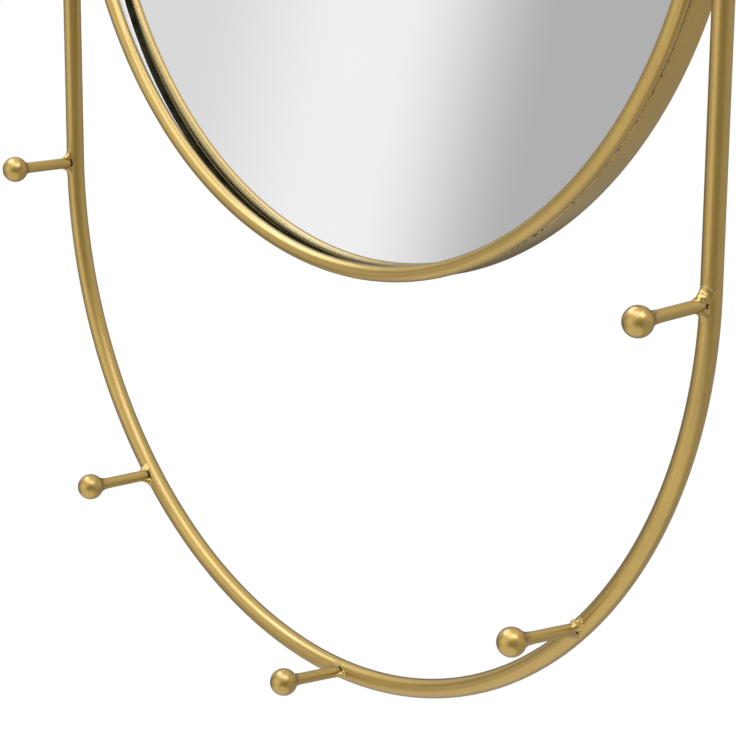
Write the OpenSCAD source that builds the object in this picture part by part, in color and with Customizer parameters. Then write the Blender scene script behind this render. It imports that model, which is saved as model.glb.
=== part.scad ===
// Wall mirror with hooks: a round mirror in a rolled ring, nested in the top of a
// racetrack loop of bent tube, with ball-ended pegs welded to the loop's lower bow.
// Row frame: +X to the viewer's right, +Y into the wall, +Z up. The origin lies on
// the wall plane, halfway between the two keyhole hangers.

/* [Loop] */
// Distance between the centrelines of the loop's two legs
loop_width = 490; // [440:5:540]
// Straight length of each leg, between the lower and the upper bow
leg_length = 208; // [160:4:260]
// Outer diameter of the loop's tube
tube_d = 10; // [9:0.5:12]
// Wall of the loop's tube
tube_wall = 1.2; // [0.8:0.1:2]
// Distance from the wall to the centreline of the loop's tube
loop_standoff = 19; // [18:0.5:24]

/* [Mirror ring] */
// Diameter of the round bead along the ring's front
bead_d = 8; // [7:0.5:9]
// Air between the bead and the loop's tube, bridged by the ring welds
ring_gap = 0.3; // [0.2:0.1:0.6]
// How far the bead's centre lies behind the centreline of the loop's tube
bead_setback = 1; // [0:0.25:2]
// Thickness of the flat band behind the bead
band_t = 1.5; // [1:0.1:2]
// How far the band's outer face lies inside the bead's outermost line
band_inset = 0.5; // [0.3:0.1:0.8]

/* [Tacks between bead and band] */
// Number of tack welds between the bead and the band
tack_count = 24; // [12:4:36]
// Length of each tack along the ring
tack_length = 7; // [4:0.5:10]
// Diameter of the filler that the tacks are laid with
tack_d = 2; // [1.5:0.1:2.4]

/* [Mirror and backing] */
// Thickness of the mirror glass
glass_t = 4; // [3:0.5:4.5]
// Air between the edge of the glass and the band
glass_clearance = 0.7; // [0.4:0.1:1.5]
// Air between the bead and the front of the glass
glass_gap = 0.3; // [0.1:0.1:0.6]
// Width of the ground arris on both edges of the glass
glass_arris = 0.8; // [0.5:0.1:1.2]
// Thickness of the backing board
board_t = 3; // [2:0.5:3.5]
// Air between the edge of the board and the band
board_clearance = 1; // [0.5:0.1:2]

/* [Retaining tabs] */
// Number of bent tabs that hold the board in the ring
tab_count = 8; // [4:2:12]
// Sheet thickness of the tabs
tab_t = 1; // [0.6:0.1:1.2]
// Width of each tab along the ring
tab_width = 12; // [8:1:18]
// Reach of each tab's foot over the board
tab_foot = 11; // [8:1:16]
// Height of each tab's flange on the band
tab_flange = 4.5; // [3.5:0.25:5]

/* [Hangers] */
// Distance between the two keyholes
hanger_span = 320; // [280:5:340]
// Distance from the inside of the band to the centre of each keyhole's head
hanger_inset = 18; // [16:0.5:24]
// Sheet thickness of the hanger plates
hanger_t = 1.5; // [1:0.1:2]
// Width of each hanger plate
hanger_width = 24; // [20:1:30]
// Diameter of the keyhole's head, which passes the screw's head
keyhole_d = 9; // [8:0.5:10]
// Width of the keyhole's slot, which takes the screw's shank
keyhole_slot = 4.5; // [4:0.25:5]
// Rise of the slot's round end above the keyhole's head
keyhole_rise = 9; // [8:0.5:12]
// Depth of the hanger's flange on the band, measured from the wall
hanger_flange = 5.5; // [4:0.5:6]

/* [Wall bumpers] */
// Diameter of the rubber bumpers where they are stuck to the board
bumper_d = 20; // [14:1:26]
// Slope of the bumpers' sides, as the loss of radius towards the wall
bumper_taper = 1.5; // [0.5:0.25:3]
// Distance between the two bumpers
bumper_span = 240; // [200:10:260]
// Distance from the inside of the band to the centre of each bumper
bumper_inset = 45; // [35:5:60]

/* [Pegs] */
// Angle between neighbouring pegs along the lower bow
peg_step = 45; // [40:1:45]
// Distance from the tube's centreline to the centre of the ball
peg_reach = 44; // [36:1:56]
// Diameter of the peg's stem
stem_d = 6; // [5:0.5:6.5]
// Diameter of the ball at the end of the peg
ball_d = 14.3; // [12:0.1:18]
// Radius of the cove where each ball flares out of its neck
neck_cove = [4, 9, 7, 11, 9]; // [3:0.5:12]
// Depth by which the cove cuts below the ball's round surface where it ends
cove_bite = 0.02; // [0.01:0.01:0.1]
// Wall of the neck's lip round the stem
lip_wall = 0.15; // [0.1:0.05:0.4]
// Length of the neck's lip behind the cove
lip_length = 0.6; // [0.4:0.1:2]
// Depth of the blind bore in the ball, measured back from its centre
ball_bore_depth = 0; // [-2:0.5:2]
// Clearance all round the stem in the ball's bore
bore_clearance = 0.05; // [0.03:0.01:0.1]
// Angle along the bow by which each welded peg is off its even place
peg_shift = [0.5, 0.5, 0, 0, -1]; // [-2:0.5:2]
// Sideways lean of each welded peg, towards +X
peg_lean_side = [5, 0.5, 3.5, -3, -2.5]; // [-6:0.5:6]
// Upward lean of each welded peg, towards +Z
peg_lean_up = [0.5, 0.5, 6, 3, -3.5]; // [-6:0.5:6]

/* [Peg welds] */
// How far the weld's toe stays inside the tube's side, seen along the stem
weld_edge = 0.5; // [0.4:0.1:0.8]
// Height of the weld's fillet along the stem
weld_height = 3; // [2:0.25:5]
// Height of the weld's toe above the tube
weld_toe = 0.6; // [0.3:0.1:1]
// Thickness of the weld where it ends on the stem
weld_lip = 0.3; // [0.2:0.1:0.5]
// Diameter of the drops that the weld is built up from
drop_d = 2.4; // [2:0.2:3]
// Number of drops round each stem
drop_count = 7; // [5:1:9]

/* [Ring welds] */
// Length of each weld between the ring and the loop
ring_weld_length = 16; // [10:1:24]
// Diameter of the filler in the welds between the ring and the loop
ring_weld_d = 6; // [5.5:0.25:7]

/* [Hidden] */

// The modules below draw the mirror lying on its back: x to the right, y up the
// wall and z out from the wall. stand() turns that into the row frame.
loop_r = loop_width / 2;
tube_r = tube_d / 2;

ring_outer_r = loop_r - tube_r - ring_gap;
bead_r = bead_d / 2;
bead_path_r = ring_outer_r - bead_r;
bead_z = loop_standoff - bead_setback;
band_outer_r = ring_outer_r - band_inset;
band_inner_r = band_outer_r - band_t;
// The band's inner front corner rests on the round back of the bead
band_front_z = bead_z - sqrt(pow(bead_r, 2) - pow(band_inner_r - bead_path_r, 2));

// The keyholes' height above the centre of the mirror, to the nearest 0.01 mm, which
// places everything else
hanger_rise = round(100 * sqrt(pow(band_inner_r - hanger_inset, 2) - pow(hanger_span / 2, 2))) / 100;
mirror_y = -hanger_rise;
bow_y = mirror_y - leg_length;

glass_r = band_inner_r - glass_clearance;
glass_front_z = bead_z - bead_r - glass_gap;
glass_back_z = glass_front_z - glass_t;
board_r = band_inner_r - board_clearance;
board_back_z = glass_back_z - board_t;
bumper_drop = sqrt(pow(band_inner_r - bumper_inset, 2) - pow(bumper_span / 2, 2));

stem_r = stem_d / 2;
ball_r = ball_d / 2;
lip_r = stem_r + lip_wall;
cove_end_r = ball_r - cove_bite;

weld_r = tube_r - weld_edge;
peg_first_angle = 270 - 2 * peg_step;

gold = [0.74, 0.59, 0.31];
silver = [0.86, 0.88, 0.89];
fibreboard = [0.55, 0.42, 0.29];
rubber = [0.16, 0.16, 0.17];
$fn = 96;

function arc_angle(length, radius) = length / radius * 180 / PI;

module stand() {
    rotate([90, 0, 0]) children();
}

module at_mirror() {
    stand() translate([0, mirror_y, 0]) children();
}

// --- loop ---------------------------------------------------------------------

module tube_section() {
    difference() {
        circle(r = tube_r);
        circle(r = tube_r - tube_wall);
    }
}

// Half a turn of tube, over the top
module bow() {
    rotate_extrude(angle = 180, $fn = 180) translate([loop_r, 0]) tube_section();
}

module outer_loop() {
    color(gold) stand() translate([0, 0, loop_standoff]) {
        translate([0, mirror_y, 0]) bow();
        translate([0, bow_y, 0]) rotate([0, 0, 180]) bow();
        for (side = [-1, 1])
            translate([side * loop_r, mirror_y, 0])
                rotate([90, 0, 0]) linear_extrude(leg_length) tube_section();
    }
}

// --- pegs ---------------------------------------------------------------------

function peg_angle(i) = peg_first_angle + (i - 1) * peg_step + peg_shift[i - 1];

// Puts children on the tube's centreline at peg i, with z out along the stem and
// x along the tube's own radius
module at_peg(i) {
    translate([0, bow_y, loop_standoff])
        rotate([0, 0, peg_angle(i)]) translate([loop_r, 0, 0]) rotate([0, 0, -peg_angle(i)])
            rotate([-peg_lean_up[i - 1], peg_lean_side[i - 1], 0])
                rotate([0, 0, peg_angle(i)]) children();
}

// The lower bow carried on round, as the cutter that copes stems and welds to the tube
module bow_cutter() {
    translate([0, bow_y, loop_standoff])
        rotate_extrude($fn = 180) translate([loop_r, 0]) circle(r = tube_r);
}

// A rod whose end is coped to the tube
module peg_stem(i) {
    color(gold) stand() difference() {
        at_peg(i) cylinder(h = peg_reach - ball_bore_depth - bore_clearance, r = stem_r);
        bow_cutter();
    }
}

// How far behind the ball's centre a cove has its own, when it is tangent to the lip
// and cuts just below the ball's surface
function cove_back(cove) = sqrt(pow(cove_end_r + cove, 2) - pow(lip_r + cove, 2));

// Half outline of the cove and the lip behind the ball, with the axis upright
module neck_outline(cove) {
    back = cove_back(cove);
    touch = cove_end_r / (cove_end_r + cove);
    difference() {
        polygon([
            [0, 0],
            [touch * (lip_r + cove), -touch * back],
            [lip_r + cove, -back],
            [lip_r, -back],
            [lip_r, -back - lip_length],
            [0, -back - lip_length]
        ]);
        translate([lip_r + cove, -back]) circle(r = cove);
    }
}

module peg_ball(i) {
    cove = neck_cove[i - 1];
    bore_length = cove_back(cove) + lip_length + ball_r;
    color(gold) stand() at_peg(i) translate([0, 0, peg_reach]) difference() {
        union() {
            sphere(r = ball_r);
            rotate_extrude() neck_outline(cove);
        }
        translate([0, 0, -bore_length])
            cylinder(h = bore_length - ball_bore_depth, r = stem_r + bore_clearance);
    }
}

// Half outline of the weld's fillet, which slopes from the stem down to its toe
module fillet_outline() {
    polygon([
        [0, 0],
        [weld_r, 0],
        [weld_r, tube_r + weld_toe],
        [stem_r + weld_lip, tube_r + weld_height],
        [0, tube_r + weld_height]
    ]);
}

// Drop k of weld i, laid on the fillet's toe where the tube's round surface is
module weld_drop(i, k) {
    turn = k * 360 / drop_count + 25 * i;
    size = drop_d / 2 * (1 + 0.15 * sin(137 * (k + 2 * i)));
    ring = (stem_r + weld_r) / 2;
    across = ring * cos(turn);
    translate([across, ring * sin(turn), sqrt(pow(tube_r + weld_toe, 2) - pow(across, 2))])
        sphere(r = size, $fn = 32);
}

module peg_weld(i) {
    color(gold) stand() difference() {
        at_peg(i) {
            rotate_extrude() fillet_outline();
            for (k = [1:drop_count]) weld_drop(i, k);
        }
        bow_cutter();
        at_peg(i) cylinder(h = peg_reach, r = stem_r);
    }
}

// --- mirror ring --------------------------------------------------------------

module bead_section() {
    translate([bead_path_r, bead_z]) circle(r = bead_r);
}

module band_section() {
    translate([band_inner_r, 0]) square([band_t, band_front_z]);
}

module ring_bead() {
    color(gold) at_mirror() rotate_extrude($fn = 180) bead_section();
}

module ring_band() {
    color(gold) at_mirror() rotate_extrude($fn = 180) band_section();
}

// Filler in the crevice between the bead's back and the band's front edge
module tack_section() {
    difference() {
        translate([band_outer_r - tack_d / 4, band_front_z]) circle(r = tack_d / 2);
        bead_section();
        band_section();
        square([band_inner_r + band_t / 2, 2 * bead_z]);
    }
}

module bead_tacks() {
    sweep = arc_angle(tack_length, band_outer_r);
    color(gold) at_mirror() for (k = [0:tack_count - 1])
        rotate([0, 0, (k + 0.5) * 360 / tack_count - sweep / 2])
            rotate_extrude(angle = sweep, $fn = 180) tack_section();
}

// Filler in the rear crevice between the loop's tube and the ring
module ring_weld_section() {
    difference() {
        translate([ring_outer_r, bead_z - bead_r]) circle(r = ring_weld_d / 2);
        translate([loop_r, loop_standoff]) circle(r = tube_r);
        bead_section();
        square([band_outer_r, loop_standoff]);
    }
}

module ring_weld(start_angle) {
    color(gold) at_mirror() rotate([0, 0, start_angle])
        rotate_extrude(angle = arc_angle(ring_weld_length, ring_outer_r), $fn = 180)
            ring_weld_section();
}

module centred_ring_weld(angle) {
    ring_weld(angle - arc_angle(ring_weld_length, ring_outer_r) / 2);
}

// The two side welds start where the upper bow begins, so that they follow it
module ring_weld_left() {
    ring_weld(180 - arc_angle(ring_weld_length, ring_outer_r));
}

module ring_weld_right() {
    ring_weld(0);
}

// --- mirror and backing -------------------------------------------------------

module mirror_glass() {
    color(silver) at_mirror() rotate_extrude($fn = 180) polygon([
        [0, glass_back_z],
        [glass_r - glass_arris, glass_back_z],
        [glass_r, glass_back_z + glass_arris],
        [glass_r, glass_front_z - glass_arris],
        [glass_r - glass_arris, glass_front_z],
        [0, glass_front_z]
    ]);
}

module backing_board() {
    color(fibreboard) at_mirror() translate([0, 0, board_back_z])
        cylinder(h = board_t, r = board_r, $fn = 180);
}

// A bent tab: its flange is welded to the band, its foot lies on the board's back
module tab_section() {
    translate([band_inner_r - tab_t, board_back_z - tab_flange]) square([tab_t, tab_flange]);
    translate([band_inner_r - tab_foot, board_back_z - tab_t]) square([tab_foot, tab_t]);
}

module retaining_tabs() {
    sweep = arc_angle(tab_width, band_inner_r);
    color(gold) at_mirror() for (k = [0:tab_count - 1])
        rotate([0, 0, (k + 0.5) * 360 / tab_count - sweep / 2])
            rotate_extrude(angle = sweep, $fn = 180) tab_section();
}

// Rubber bumpers that fill the recess behind the board out to the wall
module wall_bumpers() {
    color(rubber) at_mirror() for (side = [-1, 1])
        translate([side * bumper_span / 2, -bumper_drop, 0])
            cylinder(h = board_back_z, r1 = bumper_d / 2 - bumper_taper, r2 = bumper_d / 2);
}

// --- hangers ------------------------------------------------------------------

module keyhole_outline() {
    circle(d = keyhole_d);
    translate([0, keyhole_rise]) circle(d = keyhole_slot);
    translate([-keyhole_slot / 2, 0]) square([keyhole_slot, keyhole_rise]);
}

// The plate's outline: round below the keyhole, and straight out to the band
module hanger_outline(head, lean) {
    difference() {
        intersection() {
            circle(r = band_inner_r - hanger_t / 2, $fn = 180);
            for (spot = [[0, 0], [0, keyhole_rise]])
                translate(head + spot) rotate(lean) {
                    circle(d = hanger_width);
                    translate([0, -hanger_width / 2]) square([band_inner_r, hanger_width]);
                }
        }
        translate(head) keyhole_outline();
    }
}

// A plate with a keyhole, and the bent flange that it is welded to the band by
module hanger(side) {
    head = [side * hanger_span / 2, hanger_rise];
    lean = atan2(head[1], head[0]);
    sweep = arc_angle(hanger_width, band_inner_r);
    color(gold) at_mirror() {
        linear_extrude(hanger_t) hanger_outline(head, lean);
        rotate([0, 0, lean - sweep / 2])
            rotate_extrude(angle = sweep, $fn = 180)
                translate([band_inner_r - hanger_t, 0]) square([hanger_t, hanger_flange]);
    }
}

outer_loop();
peg_stem(1);  // peg_stem_1
peg_stem(2);  // peg_stem_2
peg_stem(3);  // peg_stem_3
peg_stem(4);  // peg_stem_4
peg_stem(5);  // peg_stem_5
peg_ball(1);  // peg_ball_1
peg_ball(2);  // peg_ball_2
peg_ball(3);  // peg_ball_3
peg_ball(4);  // peg_ball_4
peg_ball(5);  // peg_ball_5
peg_weld(1);  // peg_weld_1
peg_weld(2);  // peg_weld_2
peg_weld(3);  // peg_weld_3
peg_weld(4);  // peg_weld_4
peg_weld(5);  // peg_weld_5
ring_bead();
ring_band();
bead_tacks();
ring_weld_left();
centred_ring_weld(135);  // ring_weld_upper_left
centred_ring_weld(90);  // ring_weld_top
centred_ring_weld(45);  // ring_weld_upper_right
ring_weld_right();
mirror_glass();
backing_board();
retaining_tabs();
hanger(-1);  // hanger_left
hanger(1);  // hanger_right
wall_bumpers();
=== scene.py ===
"""Wall mirror with hooks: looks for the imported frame.

Everything is in metres in the row frame: +X to the viewer's right, +Y into the
wall, +Z up. Angles round the ring and the loop run anticlockwise from +X, as
the viewer sees them.
"""
import math

import bmesh
import bpy
from mathutils import Matrix, Vector, noise


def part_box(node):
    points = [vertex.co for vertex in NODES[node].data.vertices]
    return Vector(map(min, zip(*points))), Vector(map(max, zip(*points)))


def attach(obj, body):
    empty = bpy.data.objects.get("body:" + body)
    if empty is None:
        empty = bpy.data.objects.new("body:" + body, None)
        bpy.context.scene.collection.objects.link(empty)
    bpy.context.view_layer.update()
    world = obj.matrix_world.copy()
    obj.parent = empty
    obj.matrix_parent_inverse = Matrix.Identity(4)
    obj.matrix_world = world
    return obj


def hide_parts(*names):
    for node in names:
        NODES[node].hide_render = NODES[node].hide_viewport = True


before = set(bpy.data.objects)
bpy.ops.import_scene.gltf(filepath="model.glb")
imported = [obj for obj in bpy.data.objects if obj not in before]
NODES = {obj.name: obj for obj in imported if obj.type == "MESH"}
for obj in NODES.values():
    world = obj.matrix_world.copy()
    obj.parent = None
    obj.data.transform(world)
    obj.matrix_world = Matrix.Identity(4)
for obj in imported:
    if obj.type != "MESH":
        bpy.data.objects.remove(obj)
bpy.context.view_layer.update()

MM = 0.001

# --- places taken from the frame ----------------------------------------------

loop_lo, loop_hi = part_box("outer_loop")
TUBE_R = (loop_hi.y - loop_lo.y) / 2
LOOP_Y = (loop_hi.y + loop_lo.y) / 2
LOOP_R = (loop_hi.x - loop_lo.x) / 2 - TUBE_R
UPPER_Z = loop_hi.z - LOOP_R - TUBE_R    # centres of the two bows
LOWER_Z = loop_lo.z + LOOP_R + TUBE_R

bead_lo, bead_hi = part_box("ring_bead")
BEAD_R = (bead_hi.y - bead_lo.y) / 2
BEAD_Y = (bead_hi.y + bead_lo.y) / 2
BEAD_PATH_R = (bead_hi.x - bead_lo.x) / 2 - BEAD_R
RING_Z = (bead_lo.z + bead_hi.z) / 2

band_lo, band_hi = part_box("ring_band")
BAND_OUTER_R = (band_hi.x - band_lo.x) / 2
BAND_FRONT_Y = band_lo.y
BAND_T = 1.5 * MM

glass_lo, glass_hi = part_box("mirror_glass")
GLASS_R = (glass_hi.x - glass_lo.x) / 2
GLASS_FRONT_Y = glass_lo.y
GLASS_BACK_Y = glass_hi.y

# --- sizes of the pegs, as in the part ----------------------------------------

# Degrees round the lower bow: the step between pegs, and each peg's own shift
PEG_STEP = 45
PEG_SHIFT = (0.5, 0.5, 0, 0, -1)
# Degrees by which each peg leans to the viewer's right, and up
PEG_LEAN_SIDE = (5, 0.5, 3.5, -3, -2.5)
PEG_LEAN_UP = (0.5, 0.5, 6, 3, -3.5)
PEG_REACH = 44 * MM      # from the tube's centreline to the ball's centre
STEM_R = 3 * MM
STEM_GAP = 0.85 * MM     # from the tube's crown to the stem's flat end
BALL_R = 7.15 * MM
NECK_COVE = (4, 9, 7, 11, 9)     # radius of each neck's cove, in mm
COVE_BITE = 0.02 * MM            # how far the cove ends inside the ball's skin
LIP_R = STEM_R + 0.15 * MM
LIP_LENGTH = 0.6 * MM

# --- the camera, as fitted to the photo's outlines ----------------------------

SENSOR_WIDTH = 36
LENS = 118.07
FIT_UNIT = 0.245                             # the loop's radius at its centreline
CAMERA_FROM_BOW = (3.7724, -3.1951, 0.8747)  # from the lower bow's centre, in fit units
CAMERA_YAW, CAMERA_PITCH, CAMERA_ROLL = 49.2, 90 - 13.64, 0.4    # degrees; 90 looks level
CLIP_START, CLIP_END = 0.05, 50


def make_camera():
    data = bpy.data.cameras.new("camera")
    camera = bpy.data.objects.new("camera", data)
    bpy.context.scene.collection.objects.link(camera)
    data.sensor_width = SENSOR_WIDTH
    data.lens = LENS
    data.clip_start = CLIP_START
    data.clip_end = CLIP_END
    camera.location = Vector((0, LOOP_Y, LOWER_Z)) + FIT_UNIT * Vector(CAMERA_FROM_BOW)
    yaw, pitch, roll = (math.radians(a) for a in (CAMERA_YAW, CAMERA_PITCH, CAMERA_ROLL))
    turn = Matrix.Rotation(yaw, 3, "Z") @ Matrix.Rotation(pitch, 3, "X") @ Matrix.Rotation(roll, 3, "Z")
    camera.rotation_euler = turn.to_euler()
    bpy.context.scene.camera = camera


# --- node helpers -------------------------------------------------------------

# Numbers of a Mix node's sockets for its two values, and of its result
MIX_SOCKETS = {"RGBA": (6, 7, 2), "FLOAT": (2, 3, 0)}


def rgb(r, g, b):
    return (r, g, b, 1.0)


WHITE = rgb(1, 1, 1)


class Tree:
    """Short calls for building a node tree."""

    def __init__(self, owner):
        owner.use_nodes = True
        self.tree = owner.node_tree
        self.tree.nodes.clear()

    def add(self, kind, inputs=None, **props):
        node = self.tree.nodes.new(kind)
        for key, value in props.items():
            setattr(node, key, value)
        for key, value in (inputs or {}).items():
            self.put(node.inputs[key], value)
        return node

    def put(self, socket, value):
        if isinstance(value, bpy.types.NodeSocket):
            self.tree.links.new(value, socket)
        else:
            socket.default_value = value

    def math(self, operation, *values):
        node = self.add("ShaderNodeMath", operation=operation)
        for k, value in enumerate(values):
            self.put(node.inputs[k], value)
        return node.outputs[0]

    def vec(self, operation, *values):
        node = self.add("ShaderNodeVectorMath", operation=operation)
        for k, value in enumerate(values):
            self.put(node.inputs[k], value)
        return node

    def noise(self, vector, scale, detail=2.0, rough=0.5):
        """Noise of about scale blobs to the metre."""
        node = self.add("ShaderNodeTexNoise", {"Vector": vector, "Scale": scale,
                                               "Detail": detail, "Roughness": rough})
        return node.outputs["Fac"]

    def ramp(self, value, low, high, out_low=0.0, out_high=1.0):
        """out_low below low, out_high above high, smooth between."""
        inputs = {"Value": value, "From Min": low, "From Max": high, "To Min": out_low, "To Max": out_high}
        return self.add("ShaderNodeMapRange", inputs, interpolation_type="SMOOTHSTEP").outputs[0]

    def mix(self, factor, a, b, kind="RGBA"):
        """a where the factor is 0, b where it is 1. The kind FLOAT is for plain values."""
        first, second, result = MIX_SOCKETS[kind]
        node = self.add("ShaderNodeMix", data_type=kind)
        self.put(node.inputs["Factor"], factor)
        self.put(node.inputs[first], a)
        self.put(node.inputs[second], b)
        return node.outputs[result]


def start_material(name):
    """A new material, its node tree and the object's own coordinates."""
    material = bpy.data.materials.new(name)
    t = Tree(material)
    return material, t, t.add("ShaderNodeTexCoord").outputs["Object"]


# --- materials ----------------------------------------------------------------

GOLD_BASE = (0.485, 0.316, 0.041)
# Pale flecks painted into the colour as glints, that is painted highlights
PAINTED_GLINT = rgb(0.82, 0.68, 0.38)
STAIN = rgb(0.14, 0.075, 0.025)
# Painted shade for the bead's side next to the dark gap at the glass
GLASS_GAP_SHADE = rgb(0.11, 0.095, 0.01)
# The metal's colour at grazing angles, and the rough lacquer over it
METAL = {"Metallic": 0.96, "Specular Tint": rgb(0.42, 0.38, 0.3)}
LACQUER = {"Coat Weight": 1.0, "Coat Roughness": 0.24, "Coat IOR": 1.72}


def glass_gap_shade_mask(t, place):
    """Where shade is painted on the bead: 1 on its surface that faces the glass, 0 on its front and its outer
    side.
    """
    from_centre = t.vec("SUBTRACT", place, (0, 0, RING_Z)).outputs[0]
    flat = t.vec("MULTIPLY", from_centre, (1, 0, 1)).outputs[0]
    inward = t.math("SUBTRACT", BEAD_PATH_R, t.vec("LENGTH", flat).outputs["Value"])
    depth = t.add("ShaderNodeSeparateXYZ", {"Vector": place}).outputs["Y"]
    behind = t.ramp(depth, BEAD_Y + 0.15 * BEAD_R, BEAD_Y + 0.85 * BEAD_R)
    return t.math("MULTIPLY", behind, t.ramp(inward, -0.6 * BEAD_R, -0.1 * BEAD_R))


def make_gold(name, roughness=0.37, wear_and_glints=1.0, stain=0.0, shade_by_glass=False):
    """Satin gold paint under a thin lacquer.

    Wear adds grain and painted glints, pale flecks that stand for highlights; stain adds
    brown patches; and shading by the glass paints shade on the bead's side that faces the glass.
    """
    material, t, place = start_material(name)
    cloud = t.noise(place, 22, 3)
    blotch = t.noise(place, 330, 2)
    grain = t.noise(place, 1300, 2, 0.7)
    glint_noise = t.noise(place, 4200, 1, 0.5)
    red, green, blue = GOLD_BASE
    dark = rgb(*(c * 0.94 for c in GOLD_BASE))
    light = rgb(*(c * 1.06 for c in GOLD_BASE))
    ruddy = rgb(red * 1.04, green * 0.93, blue * 1.5)
    colour = t.mix(t.ramp(cloud, 0.35, 0.65), dark, light)
    colour = t.mix(t.ramp(blotch, 0.45, 0.68, 0, 0.7), colour, ruddy)
    # Painted glints: pale flecks that stand for highlights, stronger with more wear
    colour = t.mix(t.ramp(glint_noise, 0.64, 0.76, 0, 0.16 * wear_and_glints), colour, PAINTED_GLINT)
    height = grain
    if stain:
        patch = t.noise(place, 620, 3, 0.6)
        colour = t.mix(t.ramp(patch, 0.5, 0.68, 0, stain), colour, STAIN)
        height = t.math("ADD", grain, t.math("MULTIPLY", t.noise(place, 800, 1), 3 * stain))
    if shade_by_glass:
        # Painted shade: darker, browner paint on the bead's side that faces the glass
        colour = t.mix(t.math("MULTIPLY", glass_gap_shade_mask(t, place), 0.7), colour, GLASS_GAP_SHADE)
    rough = t.math("ADD", roughness - 0.04, t.math("MULTIPLY", grain, 0.08))
    bump = t.add("ShaderNodeBump", {"Height": height, "Strength": 0.03 * wear_and_glints, "Distance": 0.2 * MM})
    shader = t.add("ShaderNodeBsdfPrincipled", {
        "Base Color": colour, "Roughness": rough, "Normal": bump.outputs[0], **METAL, **LACQUER})
    t.add("ShaderNodeOutputMaterial", {"Surface": shader.outputs[0]})
    return material


def make_mirror():
    """Clear silver with the faintest haze."""
    material, t, place = start_material("mirror_silver")
    haze = t.noise(place, 30, 3)
    colour = t.mix(haze, rgb(0.892, 0.895, 0.892), rgb(0.905, 0.907, 0.905))
    rough = t.ramp(haze, 0.3, 0.7, 0.0, 0.012)
    shader = t.add("ShaderNodeBsdfPrincipled", {"Base Color": colour, "Metallic": 1.0, "Roughness": rough})
    t.add("ShaderNodeOutputMaterial", {"Surface": shader.outputs[0]})
    return material


def make_plain(name, dark, light, scale, roughness, bump, depth, detail=4, specular=0.5, glow=0.0):
    """A matt material, mottled between two colours, with a fine grain of the given bump and depth.

    A glow stands for the light that ground glass scatters out from inside.
    """
    material, t, place = start_material(name)
    cloud = t.noise(place, scale, detail, 0.6)
    fine = t.noise(place, scale * 12, 2, 0.6)
    colour = t.mix(t.ramp(cloud, 0.3, 0.7), rgb(*dark), rgb(*light))
    relief = t.add("ShaderNodeBump", {"Height": fine, "Strength": bump, "Distance": depth})
    rough = t.math("ADD", roughness, t.math("MULTIPLY", cloud, 0.1))
    shader = t.add("ShaderNodeBsdfPrincipled", {
        "Base Color": colour, "Roughness": rough, "Specular IOR Level": specular,
        "Normal": relief.outputs[0], "Emission Color": WHITE, "Emission Strength": glow})
    t.add("ShaderNodeOutputMaterial", {"Surface": shader.outputs[0]})
    return material


GOLD = make_gold("gold_paint")
GOLD_BEAD = make_gold("gold_bead", wear_and_glints=0.5, shade_by_glass=True)
GOLD_WELD = make_gold("gold_weld", roughness=0.35, wear_and_glints=0.9, stain=0.25)
SEAM = make_gold("gold_seam", roughness=0.4, wear_and_glints=1.5, stain=1.0)
MIRROR = make_mirror()
# The ground rim's glow is painted light
EDGE_GROUND = make_plain("edge_ground", (0.72, 0.74, 0.72), (0.95, 0.96, 0.95),
                         scale=400, roughness=0.6, bump=0.5, depth=0.3 * MM, glow=0.45)
# Near black: the glass's back, and painted shade in the dark wall and the line round the silver
DARK_BACK_AND_EDGE_SHADE = make_plain("glass_back_and_edge_shade", (0.016, 0.015, 0.006), (0.05, 0.045, 0.018),
                       scale=120, roughness=0.8, bump=0.1, depth=0.2 * MM, specular=0.1)
# Near black: burnt metal and painted shade deep in the stems' gaps, and painted shade in the seam's pits
CREVICE_BURN_AND_SHADE = make_plain("crevice", (0.03, 0.02, 0.006), (0.06, 0.04, 0.014),
                     scale=900, roughness=0.8, bump=0.4, depth=0.2 * MM, specular=0.1)
BOARD = make_plain("backing_fibreboard", (0.17, 0.105, 0.058), (0.235, 0.152, 0.09),
                   scale=420, roughness=0.75, bump=0.35, depth=0.4 * MM, detail=8)
RUBBER = make_plain("bumper_rubber", (0.012, 0.012, 0.013), (0.025, 0.025, 0.027),
                    scale=160, roughness=0.55, bump=0.25, depth=0.2 * MM)


# --- mesh helpers -------------------------------------------------------------

def mesh_object(name, verts, faces, materials, smooth=True):
    """A mesh in the scene, with its faces turned outwards."""
    mesh = bpy.data.meshes.new(name)
    mesh.from_pydata([tuple(v) for v in verts], [], faces)
    mesh.validate()
    bm = bmesh.new()
    bm.from_mesh(mesh)
    bmesh.ops.recalc_face_normals(bm, faces=bm.faces)
    bm.to_mesh(mesh)
    bm.free()
    for material in materials:
        mesh.materials.append(material)
    if smooth:
        mesh.shade_smooth()
    obj = bpy.data.objects.new(name, mesh)
    bpy.context.scene.collection.objects.link(obj)
    return obj


def give_materials(obj, numbers):
    """Give each face the material of that number."""
    for face, number in zip(obj.data.polygons, numbers):
        face.material_index = number


def place_piece(obj, slot, *replaced):
    """Put a piece on the part's one body, in place of the CAD nodes it replaces. The slot is not used."""
    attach(obj, "root")
    if replaced:
        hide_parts(*replaced)


def ramp(value, low, high):
    """0 below low, 1 above high, smooth between."""
    share = min(max((value - low) / (high - low), 0), 1)
    return share * share * (3 - 2 * share)


def turns(count):
    """Angles of equal steps round a full turn."""
    return [2 * math.pi * k / count for k in range(count)]


def circle(radius, count):
    """Points of a circle as pairs."""
    return [(radius * math.cos(a), radius * math.sin(a)) for a in turns(count)]


def spoke(across, along, angle):
    """The unit vector at an angle from across towards along."""
    return across * math.cos(angle) + along * math.sin(angle)


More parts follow.
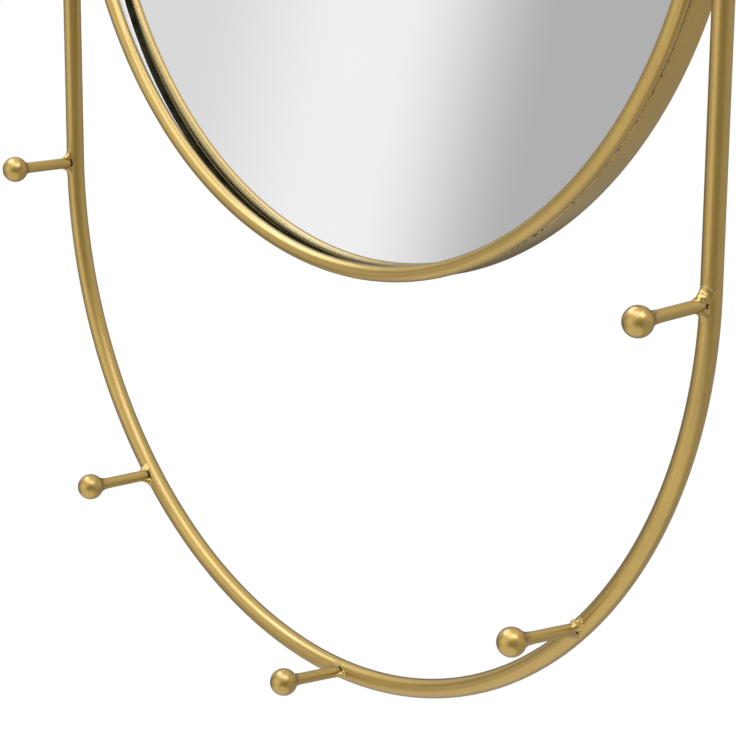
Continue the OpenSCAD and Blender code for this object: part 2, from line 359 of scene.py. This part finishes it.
def grid_faces(rows, cols, close_rows=True, close_cols=True, first=0):
    """Quads over rows of verts, counted from the first one; a closed side joins its end to its start."""
    faces = []
    for k in range(rows if close_rows else rows - 1):
        here, there = first + k * cols, first + (k + 1) % rows * cols
        for j in range(cols if close_cols else cols - 1):
            j2 = (j + 1) % cols
            faces.append((here + j, there + j, there + j2, here + j2))
    return faces


def around_ring(outline, count):
    """Verts of outline(angle), which gives (radius, y) pairs, at count angles round the ring's axis."""
    verts = []
    for a in turns(count):
        verts += [(r * math.cos(a), y, RING_Z + r * math.sin(a)) for r, y in outline(a)]
    return verts


def sweep(path, section):
    """A closed tube: a section of (across, forward) pairs along a path of (point, across vector)."""
    forward = Vector((0, -1, 0))
    verts = [point + across * u + forward * v for point, across in path for u, v in section]
    return verts, grid_faces(len(path), len(section))


def lathe(profile, origin, axis, across, count=64):
    """Verts and faces of (radius, height) pairs turned about the axis; a radius of 0 makes one vert."""
    along = axis.cross(across)
    verts, rings, faces = [], [], []
    for r, h in profile:
        centre = origin + axis * h
        ring = [centre + spoke(across, along, a) * r for a in turns(count)] if r else [centre]
        rings.append(range(len(verts), len(verts) + len(ring)))
        verts += ring
    for lower, upper in zip(rings, rings[1:]):
        for k in range(count):
            k2 = (k + 1) % count
            corners = (lower[k % len(lower)], lower[k2 % len(lower)],
                       upper[k2 % len(upper)], upper[k % len(upper)])
            faces.append(tuple(dict.fromkeys(corners)))
    return verts, faces


# --- loop and ring ------------------------------------------------------------

RING_STEPS = 360


def racetrack_path():
    """The loop's centreline as (point, outward vector) pairs: upper bow, left leg, lower bow, right leg."""
    bow_steps, leg_steps = 160, 12
    path = []
    # Each bow starts at an angle, round its centre, and a leg on one side leads on to the other bow
    for start, centre_z, other_z, side in ((0, UPPER_Z, LOWER_Z, -1), (math.pi, LOWER_Z, UPPER_Z, 1)):
        for k in range(bow_steps + 1):
            a = start + math.pi * k / bow_steps
            across = Vector((math.cos(a), 0, math.sin(a)))
            path.append((Vector((0, LOOP_Y, centre_z)) + across * LOOP_R, across))
        for k in range(1, leg_steps):
            z = centre_z + (other_z - centre_z) * k / leg_steps
            path.append((Vector((side * LOOP_R, LOOP_Y, z)), Vector((side, 0, 0))))
    return path


def make_loop():
    verts, faces = sweep(racetrack_path(), circle(TUBE_R, 48))
    place_piece(mesh_object("loop_tube", verts, faces, [GOLD]), "gold_paint", "outer_loop")


def make_bead():
    profile = [(BEAD_PATH_R + u, BEAD_Y + v) for u, v in circle(BEAD_R, 48)]
    verts = around_ring(lambda a: profile, RING_STEPS)
    faces = grid_faces(RING_STEPS, len(profile))
    place_piece(mesh_object("bead_ring", verts, faces, [GOLD_BEAD]), "gold_paint", "ring_bead")


def make_band():
    """The flat band, rounded along its two outer edges and bevelled inside its front edge."""
    inner_r = BAND_OUTER_R - BAND_T
    edge, arc_steps = 0.35 * MM, 4
    profile = [(inner_r, 0), (inner_r, BAND_FRONT_Y + edge), (inner_r + edge, BAND_FRONT_Y)]
    for centre_y, start in ((BAND_FRONT_Y + edge, -90), (-edge, 0)):
        for k in range(arc_steps + 1):
            a = math.radians(start + 90 * k / arc_steps)
            profile.append((BAND_OUTER_R - edge + edge * math.cos(a), centre_y + edge * math.sin(a)))
    verts = around_ring(lambda a: profile, RING_STEPS)
    faces = grid_faces(RING_STEPS, len(profile))
    place_piece(mesh_object("band", verts, faces, [GOLD]), "gold_paint", "ring_band")


def make_seam():
    """The brazed seam in the crevice between the bead and the band, with painted shade as dark spots in the
    pits where it didn't fill.
    """
    count, sides = 1800, 8
    seam_r, seam_y = BAND_OUTER_R - 0.45 * MM, BAND_FRONT_Y - 0.15 * MM
    radius, swell = 0.6, 0.25                       # in mm
    thinnest, thickest = -1.0, 0.5                  # in swells
    lumps, grit, grit_share = 300, 900, 0.6
    unfilled_at, unfilled_spread, pit_level = 305, 7, 0.4
    verts, pit_shade = [], []
    for a in turns(count):
        out = Vector((math.cos(a), 0, math.sin(a)))
        spot = Vector((0, 0, RING_Z)) + out * seam_r
        rough = noise.noise(spot * lumps) + grit_share * noise.noise(spot * grit)
        r = (radius + swell * max(thinnest, min(thickest, rough))) * MM
        for b in turns(sides):
            verts.append(spot + out * r * math.cos(b) + Vector((0, seam_y + r * math.sin(b), 0)))
        unfilled = math.exp(-((math.degrees(a) - unfilled_at) / unfilled_spread) ** 2)
        # Faces in the unfilled pits take the near-black material: painted shade
        pit_shade += [int(unfilled * ramp(-rough, -0.05, 0.3) > pit_level)] * sides
    seam = mesh_object("seam", verts, grid_faces(count, sides), [SEAM, CREVICE_BURN_AND_SHADE])
    give_materials(seam, pit_shade)
    place_piece(seam, "gold_paint", "bead_tacks")


# --- glass --------------------------------------------------------------------

def rim_r(a):
    """Where the ground rim ends and the view into the glass begins: ragged, and furthest in on the left."""
    rim, broadest, broad_at, spread = 235.7, 8.9, 185, 33      # in mm and degrees
    grit, grit_height = 60, 0.35
    broad = math.exp(-((math.degrees(a) - broad_at) / spread) ** 2)
    ragged = noise.noise(Vector((math.cos(a), math.sin(a), 0)) * grit) * grit_height * broad
    return (rim - broadest * broad + ragged) * MM


def shade_width(a):
    """Width of the painted shade round the silver, a dark line which is broad at the lower left."""
    hairline, broad = 0.06, 1.9                                # in mm
    degree = math.degrees(a)
    return (hairline + broad * ramp(degree, 188, 225) * (1 - ramp(degree, 262, 284))) * MM


def make_pane():
    """The glass as it looks: its silver at the depth where it shows through the glass, inside a dark
    wall of painted shade and a ground rim with bevelled edges."""
    count = 720
    silver_y = -11.0 * MM                       # where the silver shows through 4 mm of glass
    arris = 0.8 * MM
    rim_round, rim_drop = 0.3 * MM, 0.2 * MM    # the bevel inside the ground rim

    def outline(a):
        """From the back's edge forwards, over the front and in to the silver."""
        rim = rim_r(a)
        return ((GLASS_R - arris, GLASS_BACK_Y), (GLASS_R, GLASS_BACK_Y - arris),
                (GLASS_R, GLASS_FRONT_Y + arris), (GLASS_R - arris, GLASS_FRONT_Y),
                (rim + rim_round, GLASS_FRONT_Y), (rim, GLASS_FRONT_Y + rim_drop),
                (rim, silver_y), (rim - shade_width(a), silver_y))

    # The dark strips, the wall down to the silver and the line round it, are painted shade
    silver, dark, ground = range(3)
    strips = [ground] * 5 + [dark] * 2          # between each two points of the outline
    cols = len(strips) + 1
    # The centres of the back and of the silver come first, each with a fan of triangles
    verts = [(0, GLASS_BACK_Y, RING_Z), (0, silver_y, RING_Z)] + around_ring(outline, count)
    faces = []
    for k in range(count):
        here, there = 2 + k * cols, 2 + (k + 1) % count * cols
        faces += [(0, there, here), (here + cols - 1, there + cols - 1, 1)]
    faces += grid_faces(count, cols, close_cols=False, first=2)
    pane = mesh_object("mirror_pane", verts, faces, [MIRROR, DARK_BACK_AND_EDGE_SHADE, EDGE_GROUND], smooth=False)
    give_materials(pane, [dark, silver] * count + strips * count)
    place_piece(pane, "mirror_silver", "mirror_glass")


# --- pegs ---------------------------------------------------------------------

def peg_frame(i):
    """The base on the tube's centreline, the axis, the tube's outward direction square to it, and the
    direction on round the loop."""
    angle = math.radians(270 - 2 * PEG_STEP + i * PEG_STEP + PEG_SHIFT[i])
    out = Vector((math.cos(angle), 0, math.sin(angle)))
    base = Vector((0, LOOP_Y, LOWER_Z)) + out * LOOP_R
    side, up = math.radians(PEG_LEAN_SIDE[i]), math.radians(PEG_LEAN_UP[i])
    axis = Vector((math.cos(up) * math.sin(side), -math.cos(up) * math.cos(side), math.sin(up)))
    across = (out - axis * out.dot(axis)).normalized()
    return base, axis, across, axis.cross(across)


def ball_profile(cove):
    """The lip, the cove and the ball, as (radius, height) pairs with the ball's centre at height 0."""
    cove_steps, ball_steps = 16, 44
    edge = 0.08 * MM
    end_r = BALL_R - COVE_BITE
    back = math.sqrt((end_r + cove) ** 2 - (LIP_R + cove) ** 2)
    touch = math.atan2(LIP_R + cove, back)
    foot = -back - LIP_LENGTH
    profile = [(0, foot), (LIP_R - edge, foot), (LIP_R, foot + edge), (LIP_R, -back - LIP_LENGTH / 2)]
    for k in range(cove_steps + 1):
        a = (math.pi / 2 - touch) * k / cove_steps
        profile.append((LIP_R + cove * (1 - math.cos(a)), cove * math.sin(a) - back))
    for k in range(1, ball_steps):
        a = (math.pi - touch) * (1 - k / ball_steps)
        profile.append((BALL_R * math.sin(a), BALL_R * math.cos(a)))
    return profile + [(0, BALL_R)]


def make_peg(i):
    """Peg i's stem, which ends inside the ball, and its ball with the flared neck."""
    base, axis, across, _ = peg_frame(i)
    root, top = TUBE_R + STEM_GAP, PEG_REACH - 2 * MM
    edge, bulge, steps = 0.2 * MM, 0.3, 10
    stem = [(0, root), (STEM_R - edge, root),
            (STEM_R - bulge * edge, root + bulge * edge), (STEM_R, root + edge)]
    stem += [(STEM_R, root + (top - root) * k / steps) for k in range(1, steps + 1)] + [(0, top)]
    verts, faces = lathe(stem, base, axis, across, 48)
    place_piece(mesh_object(f"stem_{i + 1}", verts, faces, [GOLD]), "gold_paint", f"peg_stem_{i + 1}")
    verts, faces = lathe(ball_profile(NECK_COVE[i] * MM), base + axis * PEG_REACH, axis, across)
    place_piece(mesh_object(f"ball_{i + 1}", verts, faces, [GOLD]), "gold_paint", f"peg_ball_{i + 1}")


# --- welds --------------------------------------------------------------------

# Each peg's weld, in degrees round the stem and in mm. Degree 0 points out of the loop
# and degree 90 on round it, anticlockwise. A lobe is (degree, reach along the tube,
# height up the stem), the side is (reach, height) at degrees 0 and 180, the gap is
# (degree, half width), and a drop is (degree, distance from the axis, height above the
# tube, radius).
WELDS = (
    dict(lobes=((270, 5.2, 5.6), (90, 4.8, 5.3)), side=(1.0, 1.0), gap=(182, 52),
         drops=((268, 4.2, 0.1, 1.2), (96, 4.4, -0.1, 0.9))),
    dict(lobes=((270, 4.6, 4.6), (90, 4.8, 5.3)), side=(1.1, 1.0), gap=(158, 42),
         drops=((252, 3.6, 0.7, 1.4), (104, 5.4, -0.1, 1.0))),
    dict(lobes=((270, 4.0, 3.5), (90, 4.8, 4.8)), side=(1.1, 1.0), gap=(135, 28),
         drops=((122, 5.2, -0.1, 1.0), (100, 4.4, 0.1, 1.0))),
    dict(lobes=((270, 4.0, 3.5), (90, 5.0, 4.0)), side=(1.2, 1.4), gap=(22, 10),
         drops=((128, 3.4, 1.3, 1.7), (104, 4.8, 0.3, 1.4), (88, 6.4, 0.0, 1.1), (60, 4.0, 0.1, 0.9))),
    dict(lobes=((90, 5.6, 6.8), (270, 5.0, 5.8)), side=(1.4, 1.5), gap=(344, 26),
         drops=((72, 3.4, 1.4, 2.4), (94, 4.6, 0.4, 1.9), (318, 4.0, 0.0, 0.9))),
)
GAP_THIN = 0.15                  # share of the fillet's size that is left beside the gap
GAP_FADE, GAP_POWER = 30, 0.7    # degrees over which it grows to full size, and how bluntly
SKIN = 0.12 * MM                 # how far the fillet's ends stand off the stem and the tube
SINK = 0.5 * MM                  # how deep its inside lies in the tube
HOLLOW = 0.2                     # how far its middle keeps off the corner, as a share of its size


def off_the_tube(point):
    """Distance of a point near the lower half of the loop from the tube's centreline."""
    beyond = point.z > LOWER_Z
    across = abs(point.x) if beyond else math.hypot(point.x, point.z - LOWER_Z)
    return math.hypot(across - LOOP_R, point.y - LOOP_Y)


def tube_height(start, axis):
    """Height along the axis, from a start inside the tube, at which it comes out of the tube."""
    low, high = 0.0, 9 * MM
    for _ in range(24):
        middle = (low + high) / 2
        if off_the_tube(start + axis * middle) < TUBE_R:
            low = middle
        else:
            high = middle
    return low


def weld_size(spec, degree):
    """How far the fillet reaches from the stem and how high it climbs, at a degree round the stem."""
    reach, height = (v * MM for v in spec["side"])
    for lobe, lobe_reach, lobe_height in spec["lobes"]:
        share = max(0.0, math.cos(math.radians(degree) - math.radians(lobe))) ** 2
        reach += share * (lobe_reach * MM - reach)
        height += share * (lobe_height * MM - height)
    gap_at, gap_half = spec["gap"]
    from_gap = abs((degree - gap_at + 180) % 360 - 180) - gap_half
    fade = GAP_THIN + (1 - GAP_THIN) * min(1.0, max(0.0, from_gap / GAP_FADE)) ** GAP_POWER
    return reach * fade, height * fade


def weld_profile(i, degree):
    """A closed outline of (radius, height) pairs: a hollow fillet from the stem to the tube, and the
    points of its inside, which are hidden."""
    base, axis, across, along = peg_frame(i)
    turn = math.radians(degree)
    direction = spoke(across, along, turn)

    def surface(r):
        return tube_height(base + direction * r, axis)

    reach, height = weld_size(WELDS[i], degree)
    toe = STEM_R + reach
    side_limit = TUBE_R - 0.35 * MM
    if abs(toe * math.cos(turn)) > side_limit:
        toe = max(side_limit / abs(math.cos(turn)), STEM_R + 0.2 * MM)
    crest, corner, inner = TUBE_R + height, surface(STEM_R), STEM_R - 0.9 * MM
    top = (STEM_R + SKIN, crest)
    end = (toe, surface(toe) + SKIN)
    pull = (STEM_R + HOLLOW * (toe - STEM_R), corner + HOLLOW * (crest - corner))
    outline, steps = [], 10
    for k in range(steps + 1):
        u = k / steps
        weights = ((1 - u) ** 2, 2 * u * (1 - u), u * u)
        outline.append(tuple(weights[0] * a + weights[1] * b + weights[2] * c
                             for a, b, c in zip(top, pull, end)))
    inside = [(toe - SINK / 2, surface(toe) - SINK), (STEM_R, corner - SINK),
              (inner, surface(inner) - 0.4 * MM), (inner, crest - 0.6 * MM)]
    return outline + inside


def add_fillet(bm, i):
    """The fillet round stem i, from one side of its gap to the other."""
    base, axis, across, along = peg_frame(i)
    gap_at, gap_half = WELDS[i]["gap"]
    rings, steps = [], 72
    for k in range(steps + 1):
        degree = gap_at + gap_half + (360 - 2 * gap_half) * k / steps
        direction = spoke(across, along, math.radians(degree))
        rings.append([bm.verts.new(base + direction * r + axis * h) for r, h in weld_profile(i, degree)])
    count = len(rings[0])
    for ring, after in zip(rings, rings[1:]):
        for j in range(count):
            j2 = (j + 1) % count
            bm.faces.new((ring[j], ring[j2], after[j2], after[j]))
    bm.faces.new(rings[0])
    bm.faces.new(rings[-1][::-1])


def add_drops(bm, i):
    """The lumpy drops of weld metal on the tube beside stem i."""
    base, axis, across, along = peg_frame(i)
    lump_width, lump_share, step_down = 1.1 * MM, 0.15, 0.1 * MM
    for n, (degree, distance, height, radius) in enumerate(WELDS[i]["drops"]):
        spot = base + spoke(across, along, math.radians(degree)) * distance * MM
        lift = TUBE_R
        while off_the_tube(spot + axis * lift) > TUBE_R and lift > 0:
            lift -= step_down
        made = bmesh.ops.create_icosphere(bm, subdivisions=3, radius=radius * MM)
        for vertex in made["verts"]:
            lump = noise.noise(vertex.co / lump_width + Vector((7 * i, 3 * n, 1)))
            vertex.co = vertex.co * (1 + lump_share * lump) + spot + axis * (lift + height * MM)


def fuse(obj, voxel, smooth_steps):
    """Fuse overlapping closed shells into one skin and round its creases."""
    remesh = obj.modifiers.new("fuse", "REMESH")
    remesh.mode = "VOXEL"
    remesh.voxel_size = voxel
    remesh.use_smooth_shade = True
    smooth = obj.modifiers.new("round", "SMOOTH")
    smooth.factor = 0.5
    smooth.iterations = smooth_steps
    graph = bpy.context.evaluated_depsgraph_get()
    mesh = bpy.data.meshes.new_from_object(obj.evaluated_get(graph))
    obj.modifiers.clear()
    obj.data = mesh
    mesh.shade_smooth()


def make_knobbly(obj, amount, scale, seed):
    """Push a mesh in and out along its normals by smooth noise."""
    offset = Vector((seed, 2 * seed, 0))
    shifts = [v.normal * amount * noise.noise(v.co / scale + offset) for v in obj.data.vertices]
    for vertex, shift in zip(obj.data.vertices, shifts):
        vertex.co += shift
    obj.data.update()


def make_weld(i):
    bm = bmesh.new()
    add_fillet(bm, i)
    add_drops(bm, i)
    bmesh.ops.recalc_face_normals(bm, faces=bm.faces)
    mesh = bpy.data.meshes.new(f"weld_{i + 1}")
    bm.to_mesh(mesh)
    bm.free()
    mesh.materials.append(GOLD_WELD)
    weld = bpy.data.objects.new(f"weld_{i + 1}", mesh)
    bpy.context.scene.collection.objects.link(weld)
    fuse(weld, voxel=0.2 * MM, smooth_steps=40)
    make_knobbly(weld, amount=0.12 * MM, scale=3.0 * MM, seed=i)
    place_piece(weld, "gold_paint", f"peg_weld_{i + 1}")


def make_crevice(i):
    """Dark metal deep in the gap between the stem's flat end and the tube: burnt metal, and painted shade for
    the deep gap.
    """
    base, axis, across, _ = peg_frame(i)
    core_r, bottom, top = 2.7 * MM, 3.5 * MM, TUBE_R + STEM_GAP + 0.3 * MM
    verts, faces = lathe([(0, bottom), (core_r, bottom), (core_r, top), (0, top)], base, axis, across, 32)
    place_piece(mesh_object(f"crevice_{i + 1}", verts, faces, [CREVICE_BURN_AND_SHADE]), "gold_paint")


# --- studio -------------------------------------------------------------------

DAYLIGHT = (0.9, 1.0, 1.3)
LAMP_AIM = Vector((0, -0.02, -0.3))
LAMP_DISTANCE = 1.5
FILL = 0.45              # the world's light on matt surfaces
FLOOR_WHITE = 1.05
FLOOR_SHARE = 0.9        # how much of the floor shows as white, the rest takes shadows

# What gloss sees round the object: a plain level, and soft round patches laid over it
# in turn. A patch is (direction, half angles in degrees where it is full and where it
# ends, level).
ROOM_CENTRE = Vector((0, 0, -0.3))
ROOM_LEVEL = 0.54
ROOM_PATCHES = (
    ((-0.3, -0.7, -0.85), 20, 62, 0.78),     # pale floor in front
    ((0.15, -0.75, 0.95), 20, 60, 0.8),      # pale ceiling in front
    ((-0.1, -1.0, 0.12), 20, 45, 1.0),       # pale wall straight in front
    ((-0.4, -0.93, 0.12), 8, 26, 1.3),       # its brightest part, a little to the left
    ((-0.92, -0.4, -0.2), 16, 36, 0.22),     # dark card on the left
    ((0.5, -0.85, -0.14), 8, 24, 0.34),      # dim strip beside the camera
    ((0.75, -0.55, -0.05), 18, 40, 0.3),     # dim side that the camera stands on
    ((-0.9, 0.3, 0.55), 15, 50, 0.95),       # pale wall, high on the left
    ((0.5, 0.6, 0.55), 15, 50, 0.78),        # pale wall, high on the right and behind
    ((0.0, 0.25, 1.0), 12, 38, 1.1),         # bright ceiling overhead
    ((-0.74, 0.64, -0.2), 20, 38, 0.12),     # dark card behind, which draws the outlines
)
# What the mirror shows is one more patch. Across it, the level rises from that of a grey
# wall to a pale one, as (from, to, level before, level after), and then falls to GREY_WALL.
MIRROR_VIEW = ((-0.7374, -0.6594, -0.1464), 13, 22)
MIRROR_ACROSS = (-0.688, 0.7005, 0.19)
WALL_RISE = (-0.05, 0.032, 0.482, 0.959)
GREY_WALL_FROM, GREY_WALL_TO, GREY_WALL = 0.05, 0.13, 0.77


def area_light(name, direction, size, power):
    """A lamp that shines on the object from a direction; size is its width and height."""
    data = bpy.data.lights.new(name, "AREA")
    data.shape = "RECTANGLE"
    data.size, data.size_y = size
    data.energy = power
    data.color = DAYLIGHT
    obj = bpy.data.objects.new(name, data)
    bpy.context.scene.collection.objects.link(obj)
    away = Vector(direction).normalized()
    obj.location = LAMP_AIM + away * LAMP_DISTANCE
    obj.rotation_euler = away.to_track_quat("Z", "Y").to_euler()


def seen_directly(t):
    """1 for what the camera, gloss or glass shows, 0 for light on matt surfaces."""
    rays = t.add("ShaderNodeLightPath")
    mirrored = t.math("MAXIMUM", rays.outputs["Is Glossy Ray"], rays.outputs["Is Transmission Ray"])
    return t.math("MAXIMUM", rays.outputs["Is Camera Ray"], mirrored)


def make_world():
    """White behind the object for the camera, for gloss and through glass; a plain grey fill for the rest."""
    world = bpy.data.worlds.new("studio")
    bpy.context.scene.world = world
    t = Tree(world)
    fill = t.add("ShaderNodeBackground", {"Color": WHITE, "Strength": FILL})
    white = t.add("ShaderNodeBackground", {"Color": WHITE, "Strength": 1.0})
    both = t.add("ShaderNodeMixShader", {0: seen_directly(t), 1: fill.outputs[0], 2: white.outputs[0]})
    t.add("ShaderNodeOutputWorld", {"Surface": both.outputs[0]})


def make_floor():
    """A round floor below the object, which shows white but keeps the object's soft shadow."""
    centre, radius, count = Vector((0.3, -1.9, -1.65)), 2.1, 96
    verts = [centre] + [centre + radius * Vector((math.cos(a), math.sin(a), 0)) for a in turns(count)]
    faces = [(0, k + 1, (k + 1) % count + 1) for k in range(count)]
    material = bpy.data.materials.new("floor")
    t = Tree(material)
    pale = t.add("ShaderNodeBsdfDiffuse", {"Color": rgb(0.85, 0.85, 0.85)})
    white = t.add("ShaderNodeEmission", {"Color": WHITE, "Strength": FLOOR_WHITE})
    share = t.math("MULTIPLY", seen_directly(t), FLOOR_SHARE)
    both = t.add("ShaderNodeMixShader", {0: share, 1: pale.outputs[0], 2: white.outputs[0]})
    t.add("ShaderNodeOutputMaterial", {"Surface": both.outputs[0]})
    material.cycles.emission_sampling = "NONE"
    floor = mesh_object("floor", verts, faces, [material], smooth=False)


def room_material():
    """Glows by direction only, so that it stands for surfaces far away."""
    material = bpy.data.materials.new("room")
    t = Tree(material)
    position = t.add("ShaderNodeNewGeometry").outputs["Position"]
    away = t.vec("NORMALIZE", t.vec("SUBTRACT", position, tuple(ROOM_CENTRE)).outputs[0]).outputs[0]

    def patch(direction, full, end):
        """1 within the full half angle from the direction, 0 beyond the end one."""
        towards = tuple(Vector(direction).normalized())
        facing = t.vec("DOT_PRODUCT", away, towards).outputs["Value"]
        return t.ramp(facing, math.cos(math.radians(end)), math.cos(math.radians(full)))

    level = ROOM_LEVEL
    for direction, full, end, value in ROOM_PATCHES:
        level = t.mix(patch(direction, full, end), level, value, "FLOAT")
    past = t.vec("DOT_PRODUCT", away, MIRROR_ACROSS).outputs["Value"]
    wall = t.ramp(past, *WALL_RISE)
    wall = t.mix(t.ramp(past, GREY_WALL_FROM, GREY_WALL_TO), wall, GREY_WALL, "FLOAT")
    level = t.mix(patch(*MIRROR_VIEW), level, wall, "FLOAT")
    glow = t.add("ShaderNodeEmission", {"Color": WHITE, "Strength": level})
    t.add("ShaderNodeOutputMaterial", {"Surface": glow.outputs[0]})
    material.cycles.emission_sampling = "NONE"
    return material


def make_room():
    """A sphere round the set, which only gloss sees: what stands in front of the mirror in a real room."""
    radius, rows, cols = 6.0, 48, 96
    verts = []
    for j in range(rows + 1):
        rise = math.pi * (j / rows - 0.5)
        for a in turns(cols):
            towards = Vector((math.cos(rise) * math.cos(a), math.cos(rise) * math.sin(a), math.sin(rise)))
            verts.append(ROOM_CENTRE + radius * towards)
    faces = grid_faces(rows + 1, cols, close_rows=False)
    room = mesh_object("room", verts, faces, [room_material()])
    for ray in ("camera", "diffuse", "transmission", "volume_scatter", "shadow"):
        setattr(room, f"visible_{ray}", False)


# --- put together -------------------------------------------------------------

make_camera()
make_world()
make_floor()
make_room()
area_light("softbox_top", (0.0, -0.42, 0.9), (2.4, 1.0), 12)
area_light("softbox_left", (-0.63, -0.14, 0.75), (0.65, 0.65), 3.5)
area_light("softbox_right", (0.66, 0.0, 0.73), (0.75, 0.8), 5.4)

make_loop()
make_bead()
make_band()
make_seam()
make_pane()
for i in range(len(WELDS)):
    make_peg(i)
    make_weld(i)
    make_crevice(i)

# The rest of the part shows as its CAD solids
PLAIN_NODES = {"backing_board": BOARD, "wall_bumpers": RUBBER}
for name, node in NODES.items():
    node.data.materials.clear()
    node.data.materials.append(PLAIN_NODES.get(name, GOLD))

bpy.context.scene.view_settings.view_transform = "Standard"
